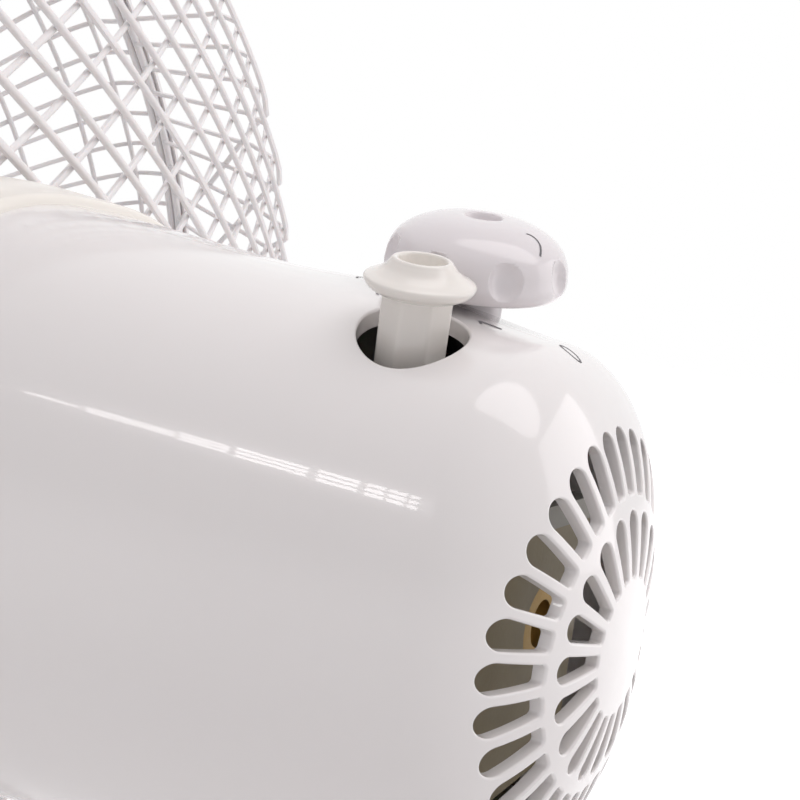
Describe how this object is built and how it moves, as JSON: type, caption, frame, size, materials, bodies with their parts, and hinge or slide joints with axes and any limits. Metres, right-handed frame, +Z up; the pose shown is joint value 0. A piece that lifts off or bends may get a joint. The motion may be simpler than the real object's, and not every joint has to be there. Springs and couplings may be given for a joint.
{
  "type": "oscillating desk fan",
  "caption": "Oscillating desk fan on a round base: vented motor housing with a pull knob and a speed knob, tilt joint, and a blade inside a wire guard.",
  "frame": {"origin": "on the table under the column axis, which is also the axis the head swings about", "axes": "+Z up, air blows towards -Y, the back of the motor housing faces +Y"},
  "size_m": [0.4356, 0.4085, 0.5678],
  "materials": {
    "housing_white": "gloss moulded ABS",
    "cover_white": "gloss moulded ABS, a little creamier",
    "knob_white": "gloss moulded plastic",
    "blade_white": "gloss moulded plastic",
    "guard_paint": "light grey-white paint on steel wire",
    "tube_paint": "white paint on steel tube",
    "zinc": "die-cast, bare",
    "steel": "bright plated",
    "iron": "laminations and weight",
    "copper": "lacquered winding wire",
    "brass": "sintered bearing bronze",
    "rubber": "matt",
    "nylon": "natural nylon",
    "black_plastic": "matt"
  },
  "bodies": {
    "stand": {"base_shell": "housing_white", "base_plate": "steel", "base_weight": "iron", "rubber_feet": "rubber", "base_screws": "steel", "cord_inlet": "black_plastic", "column_tube": "tube_paint", "column_ring": "cover_white", "column_plug": "zinc", "column_bolt": "steel", "tilt_clevis": "zinc", "clevis_screws": "steel", "tilt_bolt": "steel"},
    "tilt_knob": {"tilt_knob": "knob_white"},
    "swivel": {"swivel_post": "zinc", "swivel_shroud": "housing_white", "swivel_washer": "steel", "swivel_clip": "steel", "anchor_clip": "steel"},
    "head": {"motor_front_bracket": "zinc", "motor_rear_bracket": "zinc", "stator_core": "iron", "stator_windings": "copper", "front_bearing": "brass", "rear_bearing": "brass", "motor_bolts": "steel", "pivot_bush": "brass", "gearbox_case": "zinc", "gearbox_cover": "zinc", "gearbox_screws": "steel", "tail_bush": "brass", "front_cover": "cover_white", "front_cover_screws": "steel", "rear_cover": "housing_white", "rear_cover_screws": "steel", "speed_switch": "black_plastic", "switch_nut": "steel", "capacitor": "black_plastic", "capacitor_clamp": "steel", "rear_guard": "guard_paint", "front_guard": "guard_paint", "guard_ring": "guard_paint", "guard_ring_screw": "steel", "guard_nut": "black_plastic", "guard_badge": "blade_white"},
    "rotor": {"rotor_core": "steel", "motor_shaft": "steel", "drive_worm": "steel", "fan_blade": "blade_white", "blade_nut": "blade_white", "drive_pin": "steel"},
    "worm_wheel": {"worm_wheel": "nylon"},
    "clutch_shaft": {"clutch_shaft": "steel"},
    "crank": {"crank_gear": "steel", "crank_screw": "steel"},
    "link": {"link_arm": "steel"},
    "pull_knob": {"pull_knob": "cover_white", "pull_rod": "steel"},
    "speed_knob": {"speed_knob": "knob_white", "switch_spindle": "steel"}
  },
  "joints": [
    {"name": "tilt_knob_turn", "type": "hinge", "parent": "stand", "child": "tilt_knob", "pos_m": [0.02, 0, 0.262], "axis": [1, 0, 0], "range_deg": [-90, 90]},
    {"name": "tilt", "type": "hinge", "parent": "stand", "child": "swivel", "pos_m": [0, 0, 0.262], "axis": [1, 0, 0], "range_deg": [-30, 10]},
    {"name": "oscillate", "type": "hinge", "parent": "swivel", "child": "head", "pos_m": [0, 0, 0.3], "axis": [0, 0, 1], "range_deg": [-40, 40]},
    {"name": "blade_spin", "type": "hinge", "parent": "head", "child": "rotor", "pos_m": [0, 0, 0.35], "axis": [0, 1, 0], "continuous": true},
    {"name": "worm_wheel_turn", "type": "hinge", "parent": "head", "child": "worm_wheel", "pos_m": [0.0193, 0.0393, 0.35], "axis": [0, 0, 1], "continuous": true},
    {"name": "clutch_turn", "type": "hinge", "parent": "head", "child": "clutch_shaft", "pos_m": [0.0193, 0.0393, 0.35], "axis": [0, 0, 1], "range_deg": [-146, 146]},
    {"name": "crank_turn", "type": "hinge", "parent": "head", "child": "crank", "pos_m": [0, 0.0393, 0.33], "axis": [0, 0, 1], "range_deg": [-52.1, 52.1]},
    {"name": "link_turn", "type": "hinge", "parent": "swivel", "child": "link", "pos_m": [-0.02, 0, 0.3135], "axis": [0, 0, 1], "range_deg": [-40.1, 40.1]},
    {"name": "pull_knob_slide", "type": "slide", "parent": "head", "child": "pull_knob", "axis": [0, 0, 1], "range_m": [-0.006, 0]},
    {"name": "speed_knob_turn", "type": "hinge", "parent": "head", "child": "speed_knob", "pos_m": [-0.0069, 0.0358, 0.3984], "axis": [0.2361, 0.1287, 0.9632], "range_deg": [-105, 0]}
  ],
  "couplings": [
    {"joint": "worm_wheel_turn", "follows": "blade_spin", "ratio": 0.035714},
    {"joint": "clutch_turn", "follows": "oscillate", "ratio": 3.64},
    {"joint": "crank_turn", "follows": "oscillate", "ratio": -1.3},
    {"joint": "link_turn", "follows": "oscillate", "ratio": 1}
  ]
}
